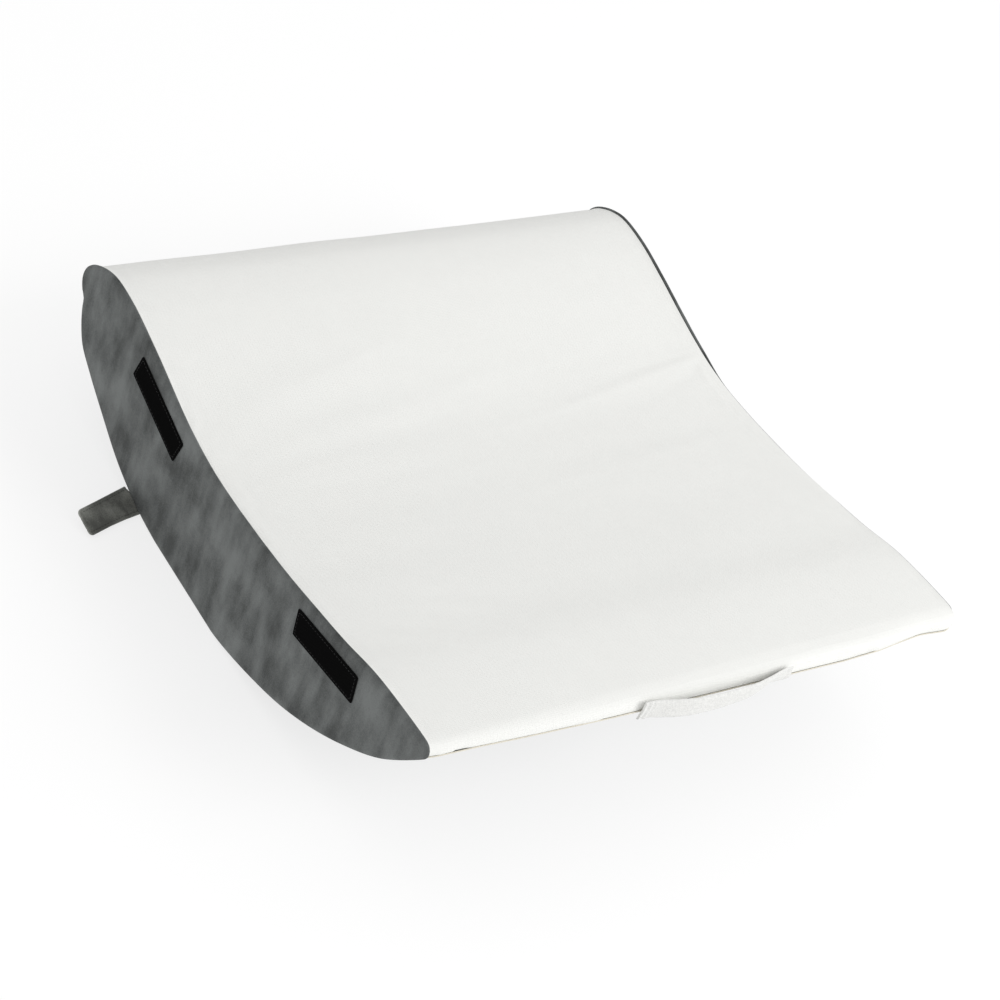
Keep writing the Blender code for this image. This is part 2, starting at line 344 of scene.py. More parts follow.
@dataclass(frozen=True)
class Cut:
    """The pillow's section and widths, which all of its pieces share."""

    half_width: float = 0.2632
    seam_sink: float = 0.0015
    seam_round: float = 0.012
    cloth: float = 0.002
    clearance: float = 0.0003
    panel_bulge: float = 0.0035
    panel_roll: float = 0.0065
    panel_ease: float = 0.0003
    roll_start: float = -35.0
    stations: tuple = (
        (-0.240, 0.1525, 0.0970), (-0.200, 0.1482, 0.0665), (-0.160, 0.1392, 0.0425),
        (-0.120, 0.1324, 0.0243), (-0.080, 0.1262, 0.0118), (-0.045, 0.1224, 0.0036),
        (-0.020, 0.1205, 0.0), (0.0, 0.1194, 0.0), (0.040, 0.1192, 0.0), (0.080, 0.1240, 0.0),
        (0.120, 0.1334, 0.0046), (0.160, 0.1438, 0.0158), (0.200, 0.1523, 0.0345),
        (0.232, 0.1538, 0.0510))
    heel: tuple = ((0.2525, 0.0640), (0.2625, 0.0795), (0.2675, 0.0935))
    rear_seam: tuple = (0.2690, 0.1015)
    crest: tuple = ((0.2748, 0.1075), (0.2785, 0.1165), (0.2772, 0.1265), (0.2705, 0.1358),
                    (0.2610, 0.1430), (0.2480, 0.1495))
    nose: tuple = (-0.2715, 0.1455, 0.0085)
    nose_sweep: tuple = (90.0, 217.0)
    full: tuple = ((-0.265, -0.0004), (-0.250, 0.0), (-0.215, 0.0010), (-0.180, 0.0027),
                   (-0.145, 0.0040), (-0.095, 0.0057), (0.0, 0.0074), (0.095, 0.0088),
                   (0.140, 0.0096), (0.180, 0.0088), (0.205, 0.0066), (0.228, 0.0052),
                   (0.250, 0.0070), (0.258, 0.0076), (0.265, 0.0045))
    full_facing: float = 213.0
    full_reach: float = 0.065
    full_soften: int = 17
    mark_pitch: float = 0.001
    nose_marks: int = 9

    def curve(self, knots: list, before: np.ndarray, after: np.ndarray) -> np.ndarray:
        """A fine smooth line through knots.

        Args:
            knots: The knots, as (along, up).
            before: The knot just before the first.
            after: The knot just after the last.

        Returns:
            Points about a millimetre apart, both ends included.
        """
        padded = [np.array(before)] + [np.array(knot) for knot in knots] + [np.array(after)]
        line = []
        for index in range(1, len(padded) - 2):
            a, b, c, d = padded[index - 1:index + 3]
            times = np.cumsum([0.0] + [math.sqrt(np.linalg.norm(q - p)) for p, q in ((a, b), (b, c), (c, d))])
            t0, t1, t2, t3 = times
            pieces = max(2, round(np.linalg.norm(c - b) / self.mark_pitch))
            t = (t1 + (t2 - t1) * np.arange(pieces) / pieces)[:, None]
            ab = a + (b - a) * (t - t0) / (t1 - t0)
            bc = b + (c - b) * (t - t1) / (t2 - t1)
            cd = c + (d - c) * (t - t2) / (t3 - t2)
            abc = ab + (bc - ab) * (t - t0) / (t2 - t0)
            bcd = bc + (cd - bc) * (t - t1) / (t3 - t1)
            line.append(abc + (bcd - abc) * (t - t1) / (t2 - t1))
        line.append(np.array([knots[-1]]))
        points = np.concatenate(line)
        points[:, 1] = np.maximum(points[:, 1], 0.0)
        return points

    def runs(self) -> tuple[np.ndarray, np.ndarray]:
        """The fine line over the top, from the rear seam, and the one along the underside back to it."""
        along, up, radius = self.nose
        sweep = np.radians(np.linspace(*self.nose_sweep, self.nose_marks))
        front = [(along + radius * math.cos(angle), up + radius * math.sin(angle)) for angle in sweep]
        top = [self.rear_seam, *self.crest] + [(row[0], row[1]) for row in self.stations[::-1]] + front
        under = [front[-1]] + [(row[0], row[2]) for row in self.stations] + [*self.heel, self.rear_seam]
        return self.curve(top, under[-2], under[1]), self.curve(under, top[-2], top[1])

    def fullness(self, across: np.ndarray, points: np.ndarray, normals: np.ndarray) -> np.ndarray:
        """How far the front edge stands out of the section.

        Args:
            across: Places across the width.
            points: Marks of the section.
            normals: Their outward directions.

        Returns:
            One row for each place, one column for each mark.
        """
        fine = np.linspace(-0.275, 0.275, 1101)
        soft = running_mean(np.interp(fine, *zip(*self.full)), self.full_soften)
        facing = math.radians(self.full_facing)
        toward = np.clip(normals @ np.array([math.cos(facing), math.sin(facing)]), 0.0, None)
        front = self.nose[0] - self.nose[2]
        reach = np.clip(1.0 - (points[:, 0] - front) / self.full_reach, 0.0, 1.0)
        return np.interp(across, fine, soft)[:, None] * (toward * eased(reach))[None, :]

    def sink(self, across: np.ndarray) -> np.ndarray:
        """How far the cover sinks beside a side seam, for places across the width."""
        reach = np.clip(1.0 - (self.half_width - np.abs(across)) / self.seam_round, 0.0, 1.0)
        return self.seam_sink * (1.0 - np.sqrt(1.0 - reach ** 2))

    def place(self, across: np.ndarray, points: np.ndarray, normals: np.ndarray,
              depth: np.ndarray | float = 0.0) -> np.ndarray:
        """Marks of the section set in space.

        Args:
            across: Places across the width.
            points: Marks of the section.
            normals: Their outward directions.
            depth: How far under the cover they lie.

        Returns:
            An array of places by marks by three coordinates.
        """
        out = self.fullness(across, points, normals) - self.sink(across)[:, None] - depth
        flat = points[None] + normals[None] * out[..., None]
        sides = np.broadcast_to(across[:, None, None], (*out.shape, 1))
        return np.concatenate([sides, flat], axis=2)


def resample(points: np.ndarray, step: float) -> tuple[np.ndarray, np.ndarray]:
    """Marks set evenly along a fine line.

    Args:
        points: The fine line.
        step: About how far apart the marks are.

    Returns:
        The marks, and how far along the line each is.
    """
    lengths = lengths_along(points)
    places = np.linspace(0.0, lengths[-1], max(3, round(lengths[-1] / step) + 1))
    return np.stack([np.interp(places, lengths, points[:, axis]) for axis in (0, 1)], axis=1), places


def outward(points: np.ndarray, closed: bool = False) -> np.ndarray:
    """The outward directions of marks that run over the top from the rear to the front.

    Args:
        points: The marks.
        closed: Whether the last is joined to the first.

    Returns:
        One unit direction for each mark.
    """
    if closed:
        run = np.roll(points, -1, axis=0) - np.roll(points, 1, axis=0)
        run = run + 0.5 * (np.roll(run, 1, axis=0) + np.roll(run, -1, axis=0))
    else:
        run = np.gradient(points, axis=0)
    run /= np.linalg.norm(run, axis=1)[:, None]
    return np.stack([run[:, 1], -run[:, 0]], axis=1)


def ripple(places: np.ndarray, scale: float, seed: float) -> np.ndarray:
    """Smooth seeded noise from -1 to 1 at points.

    Args:
        places: The points, their three coordinates last.
        scale: Cells to the metre.
        seed: An offset that picks the pattern.

    Returns:
        One value for each point, in the same layout.
    """
    shift = Vector((seed, seed * 0.37, -seed * 0.71))
    values = [noise.noise(Vector(place) * scale + shift) for place in places.reshape(-1, 3)]
    return np.array(values).reshape(places.shape[:-1])


class Piece:
    """A mesh piece of the pillow while it is being shaped."""

    def __init__(self, name: str) -> None:
        """Start an empty mesh with cloth coordinates in metres as its UVs."""
        self.name = name
        self.bm = bmesh.new()
        self.uv = self.bm.loops.layers.uv.new("weave")
        self.row = self.bm.verts.layers.int.new("row")
        self.column = self.bm.verts.layers.int.new("column")

    def loft(self, rings: np.ndarray, weave: np.ndarray, closed: bool = True) -> None:
        """Lay a grid through rings of points.

        Args:
            rings: Rings by points by three coordinates.
            weave: Rings by points by two cloth coordinates, with one more column if closed.
            closed: Whether the last point of a ring is joined to its first.
        """
        if closed:
            rings = np.concatenate([rings, rings[:, :1]], axis=1)
        rows, columns = rings.shape[:2]
        made = bmesh.ops.create_grid(self.bm, x_segments=rows - 1, y_segments=columns - 1, size=0.5)["verts"]
        for vert in made:
            row = round((vert.co.x + 0.5) * (rows - 1))
            column = round((vert.co.y + 0.5) * (columns - 1))
            vert[self.row], vert[self.column] = row, column
            vert.co = rings[row, column]
        for face in {face for vert in made for face in vert.link_faces}:
            for corner in face.loops:
                corner[self.uv].uv = weave[corner.vert[self.row], corner.vert[self.column]]
        if closed:
            for vert in made:
                vert[self.column] %= columns - 1
            bmesh.ops.remove_doubles(self.bm, verts=made, dist=1e-7)

    def close(self) -> list[bmesh.types.BMFace]:
        """Fill every open end with a face.

        Returns:
            The new faces.
        """
        rims = [edge for edge in self.bm.edges if edge.is_boundary]
        return bmesh.ops.holes_fill(self.bm, edges=rims, sides=0)["faces"]

    def finish(self, sharp: float = 180.0) -> bpy.types.Object:
        """Make the mesh an object, with its outside facing out.

        Args:
            sharp: Edges that bend by more degrees than this stay crisp.

        Returns:
            The object.
        """
        bmesh.ops.recalc_face_normals(self.bm, faces=self.bm.faces)
        mesh = bpy.data.meshes.new(self.name)
        self.bm.to_mesh(mesh)
        self.bm.free()
        mesh.shade_smooth()
        mesh.set_sharp_from_angle(angle=math.radians(sharp))
        self.thing = bpy.data.objects.new(self.name, mesh)
        bpy.context.scene.collection.objects.link(self.thing)
        LOG.info("%s: %d faces", self.name, len(mesh.polygons))
        return self.thing

    def places(self) -> tuple[np.ndarray, np.ndarray]:
        """The ring of each vertex and its place in it, which then leave the mesh."""
        found = []
        for name in ("row", "column"):
            layer = self.thing.data.attributes[name]
            values = np.empty(len(self.thing.data.vertices), dtype=np.int32)
            layer.data.foreach_get("value", values)
            found.append(values)
        return found[0], found[1]

    def dress(self, material: bpy.types.Material, slot: str, *nodes: str) -> bpy.types.Object:
        """Give the piece its finish and its place on the pillow.

        Args:
            material: What it is made of.
            slot: The record's material slot; not used.
            nodes: The CAD nodes that it stands for.

        Returns:
            The object.
        """
        for name in ("row", "column"):
            self.thing.data.attributes.remove(self.thing.data.attributes[name])
        self.thing.data.materials.append(material)
        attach(self.thing, "root")
        if nodes:
            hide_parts(*nodes)
        return self.thing


def cloth_places(run: np.ndarray, across: np.ndarray) -> np.ndarray:
    """Cloth coordinates of rings, from the run along a ring and the place across of each ring."""
    return np.stack(np.broadcast_arrays(run[None, :], across[:, None]), axis=2)


def coordinates(mesh: bpy.types.Mesh, field: str = "co") -> np.ndarray:
    """The vertices' places or normals as three columns."""
    values = np.empty(len(mesh.vertices) * 3)
    mesh.vertices.foreach_get(field, values)
    return values.reshape(-1, 3)


# The pieces


@dataclass(frozen=True)
class Filling:
    """How hard the foam fills its cover, and how far that may push the cloth."""

    pressure: float = 4.0
    frames: int = 20
    cap: float = 0.0018
    sewn: float = 0.02

    def swell(self, piece: bpy.types.Object, freedom: np.ndarray) -> None:
        """Blow the cover up by cloth simulation and keep the result in its mesh.

        Args:
            piece: The cover.
            freedom: How far each vertex may move, from 0 where it is sewn to 1.
        """
        mesh = piece.data
        rest = coordinates(mesh)
        moved = self.simulate(piece, freedom)
        move = moved - rest
        length = np.maximum(np.linalg.norm(move, axis=1), 1e-9)
        move *= np.minimum(1.0, self.cap * freedom / length)[:, None]
        mesh.vertices.foreach_set("co", (rest + move).ravel())
        mesh.update()

    def simulate(self, piece: bpy.types.Object, freedom: np.ndarray) -> np.ndarray:
        """Run the simulation.

        Args:
            piece: The cover.
            freedom: How far each vertex may move.

        Returns:
            Where the vertices end up.
        """
        scene = bpy.context.scene
        held = piece.vertex_groups.new(name="sewn")
        held.add(np.flatnonzero(freedom < self.sewn).tolist(), 1.0, "REPLACE")
        cloth = piece.modifiers.new("Filling", "CLOTH")
        settings = cloth.settings
        settings.quality = 4
        settings.mass = 0.2
        settings.use_pressure = True
        settings.uniform_pressure_force = self.pressure
        settings.vertex_group_mass = held.name
        settings.effector_weights.gravity = 0.0
        cloth.collision_settings.use_collision = False
        cloth.point_cache.frame_start = 1
        cloth.point_cache.frame_end = self.frames
        for number in range(1, self.frames + 1):
            scene.frame_set(number)
        evaluated = piece.evaluated_get(bpy.context.evaluated_depsgraph_get())
        moved = coordinates(evaluated.data)
        piece.modifiers.remove(cloth)
        piece.vertex_groups.remove(held)
        scene.frame_set(1)
        return moved


@dataclass(frozen=True)
class Gather:
    """A short tuck in the knit at the front seam."""

    across: float
    depth: float = 0.0009
    width: float = 0.0011
    reach: float = 0.008


@dataclass
class FoamBody:
    """The foam in its white knit top."""

    cut: Cut
    filling: Filling
    step: float = 0.003
    hidden_step: float = 0.012
    start_inside: float = 0.0011
    edge_round: float = 0.009
    edge_sink: float = 0.0009
    edge_gap: float = 0.0004
    edge_band: float = 0.012
    edge_marks: int = 10
    unevenness: float = 0.0007
    pucker: float = 0.00035
    pucker_in: float = 0.006
    pucker_reach: float = 0.004
    gathers: tuple[Gather, ...] = (
        Gather(-0.2395, 0.0012), Gather(-0.2365, 0.0010), Gather(-0.2335, 0.0011),
        Gather(-0.2305, 0.0009), Gather(-0.2280, 0.0006))

    def stations(self) -> np.ndarray:
        """Places across the width, closer together beside the side seams."""
        edge = self.cut.half_width - self.edge_gap
        inner = edge - self.edge_band
        wide = np.linspace(0.0, inner, round(inner / self.step) + 1)
        near = np.linspace(inner, edge, self.edge_marks + 1)[1:]
        half = np.concatenate([wide, near])
        return np.concatenate([-half[:0:-1], half])

    def build(self, finish: BirdseyeKnit) -> bpy.types.Object:
        """Build the filled body.

        Args:
            finish: Its knit.

        Returns:
            The object.
        """
        cut = self.cut
        top_line, under_line = cut.runs()
        top, top_run = resample(top_line, self.step)
        under, _ = resample(under_line, self.hidden_step)
        under = under[1:-1]
        across = self.stations()
        top_out, under_out = outward(top), outward(under)
        ends = np.minimum(top_run, top_run[-1] - top_run)
        sides = cut.half_width - np.abs(across)
        crown = np.clip(np.minimum(ends[None, :], sides[:, None]) / self.edge_round, 0.0, 1.0)
        freedom = np.sqrt(1.0 - (1.0 - crown) ** 2)
        near_end = np.clip(1.0 - ends / self.edge_round, 0.0, 1.0)
        depth = self.start_inside * freedom + self.edge_sink * (1.0 - np.sqrt(1.0 - near_end ** 2))[None, :]
        upper = cut.place(across, top, top_out, depth)
        lower = cut.place(across, under, under_out, cut.cloth + 1.5 * cut.clearance)
        rings = np.concatenate([upper, lower], axis=1)
        run = np.concatenate([top_run, top_run[-1] + self.hidden_step * np.arange(1, len(under) + 2)])
        piece = Piece("knit_body")
        piece.loft(rings, cloth_places(run, across))
        piece.close()
        thing = piece.finish(50.0)
        row, column = piece.places()
        loose = np.zeros(rings.shape[:2])
        loose[:, :len(top)] = freedom
        self.filling.swell(thing, loose[row, column])
        pressed = np.zeros(rings.shape[:2])
        pressed[:, :len(top)] = self.pressed(upper, top_run, across, freedom)
        moved = coordinates(thing.data) + coordinates(thing.data, "normal") * pressed[row, column][:, None]
        thing.data.vertices.foreach_set("co", moved.ravel())
        thing.data.update()
        body = piece.dress(finish.make(), "white_knit", "filled_body")
        return body

    def pressed(self, top: np.ndarray, run: np.ndarray, across: np.ndarray,
                freedom: np.ndarray) -> np.ndarray:
        """The gathers, the seam puckers and the slight unevenness of the foam.

        Args:
            top: Marks of the top, ring by ring.
            run: How far along the top each mark is.
            across: Places of the rings.
            freedom: How far each mark may move.

        Returns:
            How far each mark of the top stands out for them.
        """
        height = ripple(top, 11.0, 3.0) * self.unevenness * freedom
        from_front = run[-1] - run
        for gather in self.gathers:
            slot = np.exp(-((across - gather.across) / gather.width) ** 2)
            height -= gather.depth * slot[:, None] * np.exp(-(from_front / gather.reach) ** 2)[None, :]
        inward = self.cut.half_width - np.abs(across) - self.pucker_in
        beside = np.exp(-(inward / self.pucker_reach) ** 2)
        wave = ripple(np.column_stack([run, 0.0 * run, 0.0 * run]), 95.0, 8.0)
        return height + self.pucker * beside[:, None] * wave[None, :]


@dataclass(frozen=True)
class Crease:
    """A soft crease in a side panel: where its middle is, how it runs and how high it stands."""

    along: float
    up: float
    slant: float
    length: float
    width: float
    height: float


@dataclass
class SidePanel:
    """A suede side panel, which rolls out of its seam to a slightly creased face."""

    cut: Cut
    side: Side
    strips: tuple["HookStrip", ...]
    step: float = 0.0035
    roll_steps: int = 9
    mesh_pitch: float = 0.0040
    tuck_in: float = 0.0022
    crease_count: int = 46
    crease_edge: float = 0.008
    flat_border: float = 0.010
    clouds: float = 0.0006

    def outline(self) -> tuple[np.ndarray, np.ndarray]:
        """Marks of the panel's closed outline, and their outward directions."""
        top_line, under_line = self.cut.runs()
        loop, _ = resample(np.concatenate([top_line, under_line[1:]]), self.step)
        loop = loop[:-1]
        return loop, outward(loop, closed=True)

    def creases(self) -> list[Crease]:
        """Seeded upright creases, most of them near the front and under the crest."""
        rng = np.random.default_rng(11 if self.side is Side.LEFT else 12)
        places, tops, unders = zip(*self.cut.stations)
        made = []
        for _ in range(self.crease_count):
            front = rng.random() < 0.6
            along = rng.uniform(-0.235, -0.07) if front else rng.uniform(0.05, 0.25)
            low, high = (np.interp(along, places, line) for line in (unders, tops))
            up = rng.uniform(low + self.crease_edge, high - self.crease_edge)
            slant = math.radians(rng.normal(96.0, 13.0))
            made.append(Crease(along, up, slant, rng.uniform(0.010, 0.030), rng.uniform(0.0020, 0.0042),
                               rng.choice([-1.0, 1.0]) * rng.uniform(0.00015, 0.00045)))
        made += [Crease(-0.2640, 0.1435, math.radians(88.0), 0.006, 0.0011, -0.0009),
                 Crease(-0.2605, 0.1425, math.radians(93.0), 0.007, 0.0011, 0.0004)]
        return made

    def relief(self, spots: np.ndarray, border: np.ndarray) -> np.ndarray:
        """How far the face stands out at spots on it.

        Args:
            spots: The spots, as (along, up).
            border: Marks of the face's border.

        Returns:
            One height for each spot.
        """
        away = np.min(np.linalg.norm(spots[:, None] - border[None], axis=2), axis=1)
        relief = np.zeros(len(spots))
        for crease in self.creases():
            run = np.array([math.cos(crease.slant), math.sin(crease.slant)])
            offset = spots - np.array([crease.along, crease.up])
            far = offset @ run
            beside = offset @ np.array([-run[1], run[0]]) + 0.0012 * np.sin(far * 140.0)
            relief += crease.height * np.exp(-(far / crease.length) ** 2 - (beside / crease.width) ** 2)
        flat = np.concatenate([spots, np.full((len(spots), 1), 0.3 * self.side.value)], axis=1)
        relief += self.clouds * ripple(flat, 30.0, 5.0)
        for strip in self.strips:
            relief *= strip.clear(spots)
        return relief * eased(np.clip(away / self.flat_border, 0.0, 1.0))

    def build(self, finish: Suede) -> bpy.types.Object:
        """Build the panel.

        Args:
            finish: Its suede.

        Returns:
            The object.
        """
        cut = self.cut
        marks, out = self.outline()
        count = len(marks)
        start = math.radians(cut.roll_start)
        rows = []
        for angle in np.linspace(start, math.pi / 2, self.roll_steps):
            rise = (math.sin(angle) - math.sin(start)) / (1.0 - math.sin(start))
            inset = cut.panel_ease + cut.panel_roll * (1.0 - math.cos(angle))
            tucked = self.hide(marks) * math.cos(angle)
            flat = marks - out * (inset + self.tuck_in * tucked)[:, None]
            bulge = cut.panel_bulge * rise * (1.0 - 0.6 * tucked)
            rows.append(np.column_stack([cut.half_width + bulge, flat]))
        border = rows[-1][:, 1:]
        inner = []
        for across, inset in ((cut.half_width + cut.panel_bulge - cut.cloth, cut.panel_ease + cut.panel_roll),
                              (cut.half_width, cut.panel_ease + cut.cloth)):
            inner.append(np.column_stack([np.full(count, across), marks - out * inset]))
        rings = np.array(inner + rows)
        rings[..., 0] *= self.side.value
        piece = Piece(f"suede_side_{self.side.name.lower()}")
        loop = np.concatenate([rings, rings[:, :1]], axis=1)[..., 1:]
        piece.loft(rings, loop)
        self.fill(piece, border, len(rings) - 1)
        piece.finish()
        panel = piece.dress(finish.make(), "grey_suede", f"side_panel_{self.side.name.lower()}")
        return panel

    def hide(self, marks: np.ndarray) -> np.ndarray:
        """Where the knit hides the panel's roll: beside the dish and the front on the right.

        Args:
            marks: Marks of the panel's outline.

        Returns:
            One share for each mark, from 0 to 1.
        """
        if self.side is Side.LEFT:
            return np.zeros(len(marks))
        front = np.clip((0.085 - marks[:, 0]) / 0.05, 0.0, 1.0)
        return eased(front) * (marks[:, 1] > 0.10)

    def fill(self, piece: Piece, border: np.ndarray, last: int) -> None:
        """Close both ends of the panel's cloth, and cut the outer face up so that it can crease.

        Args:
            piece: The panel so far.
            border: Marks of the outer face's border.
            last: The number of the ring along that border.
        """
        ends = piece.close()
        face = next(face for face in ends if face.verts[0][piece.row] == last)
        geometry = [face, *face.edges, *face.verts]
        for axis, unit in ((0, (0, 1, 0)), (1, (0, 0, 1))):
            low, high = border[:, axis].min(), border[:, axis].max()
            for place in np.arange(low + self.mesh_pitch / 2, high, self.mesh_pitch):
                cut = bmesh.ops.bisect_plane(piece.bm, geom=geometry, dist=1e-5,
                                             plane_co=Vector(unit) * place, plane_no=unit)
                geometry = cut["geom"]
        verts = [item for item in geometry if isinstance(item, bmesh.types.BMVert)]
        spots = np.array([vert.co[1:] for vert in verts])
        for vert, height in zip(verts, self.relief(spots, border)):
            vert.co.x += self.side.value * height
        for face in {face for vert in verts for face in vert.link_faces}:
            for corner in face.loops:
                corner[piece.uv].uv = corner.vert.co[1:]


@dataclass
class Underside:
    """The plain suede underside."""

    cut: Cut
    step: float = 0.008
    edge_band: float = 0.012
    end_gaps: float = 4.5
    side_gaps: float = 2.5

    def build(self, finish: Suede) -> bpy.types.Object:
        """Build the underside.

        Args:
            finish: Its suede.

        Returns:
            The object.
        """
        cut = self.cut
        marks, run = resample(cut.runs()[1], self.step)
        out = outward(marks)
        ends = self.end_gaps * cut.clearance
        marks[0] += (marks[1] - marks[0]) * ends / np.linalg.norm(marks[1] - marks[0])
        marks[-1] += (marks[-2] - marks[-1]) * ends / np.linalg.norm(marks[-2] - marks[-1])
        edge = cut.half_width - self.side_gaps * cut.clearance
        wide = np.linspace(-edge + self.edge_band, edge - self.edge_band, 44)
        near = np.linspace(0.0, self.edge_band, 7)[:-1]
        across = np.concatenate([-edge + near, wide, edge - near[::-1]])
        outer = cut.place(across, marks, out)
        inner = cut.place(across, marks, out, cut.cloth)
        rings = np.concatenate([outer, inner[:, ::-1]], axis=1)
        rings[..., 2] = np.maximum(rings[..., 2], 0.0)
        piece = Piece("suede_underside")
        piece.loft(rings, cloth_places(np.concatenate([run, run[::-1], run[:1]]), across))
        piece.close()
        piece.finish(50.0)
        panel = piece.dress(finish.make(), "grey_suede", "underside_panel")
        return panel


@dataclass
class HookStrip:
    """A hook-and-loop strip sewn on a side panel."""

    cut: Cut
    where: str
    along: float
    up: float
    tilt: float
    length: float = 0.085
    width: float = 0.025
    thickness: float = 0.0012
    corner: float = 0.0022
    pitch: float = 0.0012
    stitch_in: float = 0.0024

    def axes(self) -> tuple[np.ndarray, np.ndarray]:
        """The strip's long and short directions, as (along, up)."""
        turn = math.radians(self.tilt)
        return (np.array([math.cos(turn), math.sin(turn)]), np.array([-math.sin(turn), math.cos(turn)]))

    def clear(self, spots: np.ndarray) -> np.ndarray:
        """A factor that is 0 under the strip and 1 away from it, for spots as (along, up)."""
        long, short = self.axes()
        offset = spots - np.array([self.along, self.up])
        beyond = np.maximum(np.abs(offset @ long) - self.length / 2, np.abs(offset @ short) - self.width / 2)
        return np.clip((beyond - 0.002) / 0.008, 0.0, 1.0)

    def build(self, side: Side, finish: HookTape, thread: bpy.types.Material) -> list[bpy.types.Object]:
        """Build the strip and its stitches.

        Args:
            side: The panel that it is on.
            finish: Its tape.
            thread: What it is sewn on with.

        Returns:
            The tape and the stitches.
        """
        across = max(4, round(self.width / self.pitch))
        along = max(4, round(self.length / self.pitch))
        u = np.linspace(-self.length / 2, self.length / 2, along + 1)
        v = np.linspace(-self.width / 2, self.width / 2, across + 1)
        grid_u, grid_v = np.meshgrid(u, v, indexing="ij")
        over_u = np.clip(np.abs(grid_u) - (self.length / 2 - self.corner), 0.0, None)
        over_v = np.clip(np.abs(grid_v) - (self.width / 2 - self.corner), 0.0, None)
        spread = np.maximum(np.hypot(over_u, over_v), 1e-9)
        corner = (over_u > 0) & (over_v > 0)
        pull = np.where(corner, np.minimum(1.0, np.maximum(over_u, over_v) / spread), 1.0)
        grid_u = np.sign(grid_u) * (np.abs(grid_u) - over_u * (1.0 - pull))
        grid_v = np.sign(grid_v) * (np.abs(grid_v) - over_v * (1.0 - pull))
        rim = np.minimum(self.length / 2 - np.abs(grid_u), self.width / 2 - np.abs(grid_v))
        rng = np.random.default_rng(21)
        hooks = rng.uniform(0.0, 0.00025, grid_u.shape) * (rim > 0.0018)
        lower = np.where((rim > 0.0014) & (rim < 0.0034), -0.00025, 0.0)
        top = self.thickness - 0.0004 + hooks + lower
        top = np.where(rim < 0.0006, self.thickness - 0.0007, top)
        base = self.cut.half_width + self.cut.panel_bulge + self.cut.clearance
        long, short = self.axes()
        flat = np.array([self.along, self.up]) + grid_u[..., None] * long + grid_v[..., None] * short
        under = np.concatenate([np.full((*flat.shape[:2], 1), side.value * base), flat], axis=2)
        name = f"{side.name.lower()}_{self.where}"
        piece = Piece(f"hook_tape_{name}")
        piece.loft(under, np.stack([grid_u, grid_v], axis=2), closed=False)
        grown = bmesh.ops.extrude_face_region(piece.bm, geom=list(piece.bm.faces), use_keep_orig=True)["geom"]
        for vert in grown:
            if isinstance(vert, bmesh.types.BMVert):
                vert.co.x = side.value * (base + top[vert[piece.row], vert[piece.column]])
        piece.finish(55.0)
        tape = piece.dress(finish.make(), "hook_tape", f"hook_strip_{name}")
        reach = long * (self.length / 2 - self.stitch_in)
        rise = short * (self.width / 2 - self.stitch_in)
        places = [np.array([self.along, self.up]) + reach * sx + rise * sy
                  for sx, sy in ((-1, -1), (1, -1), (1, 1), (-1, 1), (-1, -1))]
        height = base + self.thickness - 0.0005
        path = [np.array([side.value * height, *place]) for place in places]
        seam = Stitching(f"hook_stitch_{name}", stitch=0.0024, gap=0.0010, radius=0.00025)
        stitches = seam.build(path, thread, "hook_tape")
        return [tape, stitches]


@dataclass
class Stitching:
    """A row of stitches of thread."""

    name: str
    stitch: float = 0.0030
    gap: float = 0.0012
    radius: float = 0.0003

    def build(self, path: list[np.ndarray], thread: bpy.types.Material, slot: str) -> bpy.types.Object:
        """Lay the stitches along a path.

        Args:
            path: The points that the row follows.
            thread: Its thread.
            slot: The record's material slot.

        Returns:
            The object.
        """
        line = np.array(path)
        lengths = lengths_along(line)
        pitch = self.stitch + self.gap
        piece = Piece(self.name)
        for number in range(int(lengths[-1] / pitch)):
            ends = number * pitch + self.gap / 2 + np.array([0.0, self.stitch])
            start, stop = (Vector([np.interp(end, lengths, line[:, axis]) for axis in range(3)])
                           for end in ends)
            turn = (stop - start).to_track_quat("Z", "Y")
            shape = Matrix.LocRotScale((start + stop) / 2, turn, (self.radius, self.radius, self.stitch / 2))
            bmesh.ops.create_uvsphere(piece.bm, u_segments=6, v_segments=5, radius=1.0, matrix=shape)
        piece.finish()
        return piece.dress(thread, slot)


@dataclass
class FrontSeam:
    """The cream thread line that closes the front seam, from one side panel to the other."""

    cut: Cut
    radius: float = 0.00055
    sides: int = 8

    def build(self, thread: bpy.types.Material) -> bpy.types.Object:
        """Build the seam line.

        Args:
            thread: Its thread.

        Returns:
            The object.
        """
        top, _ = resample(self.cut.runs()[0], 0.0005)
        out = outward(top)
        across = np.linspace(-self.cut.half_width + 0.0015, self.cut.half_width - 0.0015, 320)
        line = self.cut.place(across, top[-1:], out[-1:], 0.0002)[:, 0]
        wobble = ripple(line, 300.0, 2.0) * 0.00012
        angles = np.linspace(0.0, 2.0 * math.pi, self.sides, endpoint=False)
        circle = np.column_stack([np.zeros(self.sides), np.cos(angles), np.sin(angles)])
        rings = line[:, None] + circle[None] * (self.radius + wobble)[:, None, None]
        piece = Piece("front_seam_thread")
        around = np.linspace(0.0, 2.0 * math.pi * self.radius, self.sides + 1)
        piece.loft(rings, cloth_places(around, across))
        piece.close()
        piece.finish()
        return piece.dress(thread, "white_strap")


